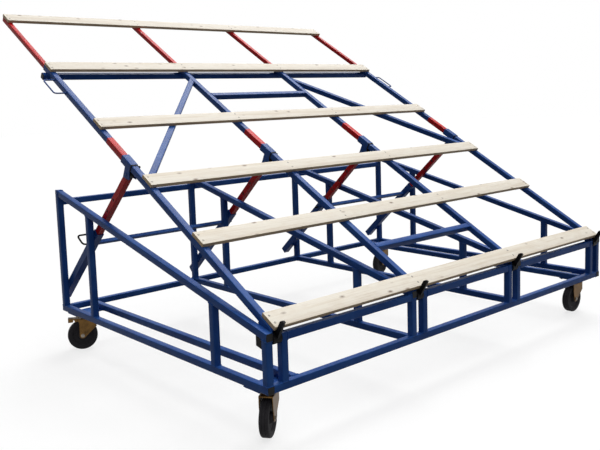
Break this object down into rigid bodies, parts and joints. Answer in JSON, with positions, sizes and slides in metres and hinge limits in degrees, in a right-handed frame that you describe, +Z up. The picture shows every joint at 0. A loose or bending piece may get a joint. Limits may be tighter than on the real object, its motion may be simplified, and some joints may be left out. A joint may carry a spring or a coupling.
{
  "type": "sheet goods cart",
  "caption": "Rolling workshop cart with a tilting slatted table on a welded square-tube frame; pinned struts set the tilt and an upper slat slides out.",
  "frame": {"origin": "on the floor under the centre of the bounding box", "axes": "+X along the slats, +Y from the low front edge to the raised rear edge, +Z up"},
  "size_m": [3.362, 3.1348, 2.3746],
  "materials": {
    "blue_paint": "satin",
    "red_paint": "satin",
    "pine": "matte",
    "black_steel": "satin",
    "rubber": "matte",
    "gold_zinc": "satin"
  },
  "bodies": {
    "base": {"side_frame_1": "blue_paint", "side_frame_2": "blue_paint", "side_frame_3": "blue_paint", "side_frame_4": "blue_paint", "front_rail": "blue_paint", "front_ledge_left": "blue_paint", "front_ledge_right": "blue_paint", "rear_bottom_rail": "blue_paint", "rear_top_rail_left": "blue_paint", "rear_top_rail_middle": "blue_paint", "rear_top_rail_right": "blue_paint", "caster_rail_left": "blue_paint", "caster_rail_right": "blue_paint", "strut_guides_left": "blue_paint", "strut_guides_right": "blue_paint"},
    "table": {"table_beam_1": "blue_paint", "table_beam_2": "blue_paint", "table_beam_3": "blue_paint", "table_beam_4": "blue_paint", "table_crossbar": "blue_paint", "table_tie_lower": "blue_paint", "table_tie_upper": "blue_paint", "table_brace_left": "blue_paint", "table_brace_right": "blue_paint", "slat_1": "pine", "slat_2": "pine", "slat_3": "pine", "slat_4": "pine", "slat_5": "pine", "stop_hook_1": "black_steel", "stop_hook_2": "black_steel", "stop_hook_3": "black_steel", "stop_hook_4": "black_steel"},
    "extension": {"extension_arm_1": "red_paint", "extension_arm_2": "red_paint", "extension_arm_3": "red_paint", "extension_arm_4": "red_paint", "top_slat": "pine"},
    "collars": {"beam_collar_1": "blue_paint", "beam_collar_2": "blue_paint", "beam_collar_3": "blue_paint", "beam_collar_4": "blue_paint"},
    "struts": {"strut_1": "red_paint", "strut_2": "red_paint", "strut_3": "red_paint", "strut_4": "red_paint"},
    "pin_1": {"lock_pin_1": "black_steel"},
    "pin_2": {"lock_pin_2": "black_steel"},
    "pin_3": {"lock_pin_3": "black_steel"},
    "pin_4": {"lock_pin_4": "black_steel"},
    "caster_front_left": {"caster_fork_front_left": "gold_zinc"},
    "wheel_front_left": {"caster_wheel_front_left": "rubber"},
    "caster_front_right": {"caster_fork_front_right": "gold_zinc"},
    "wheel_front_right": {"caster_wheel_front_right": "rubber"},
    "caster_rear_left": {"caster_fork_rear_left": "gold_zinc"},
    "wheel_rear_left": {"caster_wheel_rear_left": "rubber"},
    "pedal_rear_left": {"brake_pedal_rear_left": "gold_zinc"},
    "caster_rear_right": {"caster_fork_rear_right": "gold_zinc"},
    "wheel_rear_right": {"caster_wheel_rear_right": "rubber"},
    "pedal_rear_right": {"brake_pedal_rear_right": "gold_zinc"}
  },
  "joints": [
    {"name": "table_tilt", "type": "hinge", "parent": "base", "child": "table", "pos_m": [0, -1.48626, 0.532], "axis": [1, 0, 0], "range_deg": [-15.14, 0]},
    {"name": "collar_slide", "type": "slide", "parent": "table", "child": "collars", "axis": [0, 0.8643, 0.503], "range_m": [0, 0.20272]},
    {"name": "strut_slide", "type": "slide", "parent": "base", "child": "struts", "axis": [0, -0.7361, 0.6769], "range_m": [-0.464, 0]},
    {"name": "extension_slide", "type": "slide", "parent": "table", "child": "extension", "axis": [0, 0.8643, 0.503], "range_m": [-0.65, 0]},
    {"name": "lock_pin_1_pull", "type": "slide", "parent": "base", "child": "pin_1", "axis": [-1, 0, 0], "range_m": [0, 0.06]},
    {"name": "lock_pin_2_pull", "type": "slide", "parent": "base", "child": "pin_2", "axis": [1, 0, 0], "range_m": [0, 0.06]},
    {"name": "lock_pin_3_pull", "type": "slide", "parent": "base", "child": "pin_3", "axis": [-1, 0, 0], "range_m": [0, 0.06]},
    {"name": "lock_pin_4_pull", "type": "slide", "parent": "base", "child": "pin_4", "axis": [1, 0, 0], "range_m": [0, 0.06]},
    {"name": "swivel_front_left", "type": "hinge", "parent": "base", "child": "caster_front_left", "pos_m": [-1.5185, -1.37126, 0.24], "axis": [0, 0, 1], "continuous": true},
    {"name": "wheel_front_left_spin", "type": "hinge", "parent": "caster_front_left", "child": "wheel_front_left", "pos_m": [-1.55086, -1.39477, 0.1], "axis": [0.5878, -0.809, 0], "continuous": true},
    {"name": "swivel_front_right", "type": "hinge", "parent": "base", "child": "caster_front_right", "pos_m": [1.5185, -1.37126, 0.24], "axis": [0, 0, 1], "continuous": true},
    {"name": "wheel_front_right_spin", "type": "hinge", "parent": "caster_front_right", "child": "wheel_front_right", "pos_m": [1.4785, -1.37126, 0.1], "axis": [0, -1, 0], "continuous": true},
    {"name": "swivel_rear_left", "type": "hinge", "parent": "base", "child": "caster_rear_left", "pos_m": [-1.5185, 0.59874, 0.24], "axis": [0, 0, 1], "continuous": true},
    {"name": "wheel_rear_left_spin", "type": "hinge", "parent": "caster_rear_left", "child": "wheel_rear_left", "pos_m": [-1.55445, 0.61627, 0.1], "axis": [-0.4384, -0.8988, 0], "continuous": true},
    {"name": "brake_pedal_rear_left_press", "type": "hinge", "parent": "caster_rear_left", "child": "pedal_rear_left", "pos_m": [-1.58142, 0.62942, 0.214], "axis": [-0.4384, -0.8988, 0], "range_deg": [0, 10]},
    {"name": "swivel_rear_right", "type": "hinge", "parent": "base", "child": "caster_rear_right", "pos_m": [1.5185, 0.59874, 0.24], "axis": [0, 0, 1], "continuous": true},
    {"name": "wheel_rear_right_spin", "type": "hinge", "parent": "caster_rear_right", "child": "wheel_rear_right", "pos_m": [1.47937, 0.59042, 0.1], "axis": [0.2079, -0.9781, 0], "continuous": true},
    {"name": "brake_pedal_rear_right_press", "type": "hinge", "parent": "caster_rear_right", "child": "pedal_rear_right", "pos_m": [1.45003, 0.58418, 0.214], "axis": [0.2079, -0.9781, 0], "range_deg": [0, 10]}
  ],
  "couplings": [
    {"joint": "collar_slide", "follows": "table_tilt", "m_per_rad": -0.76691},
    {"joint": "strut_slide", "follows": "table_tilt", "m_per_rad": 1.7554}
  ]
}
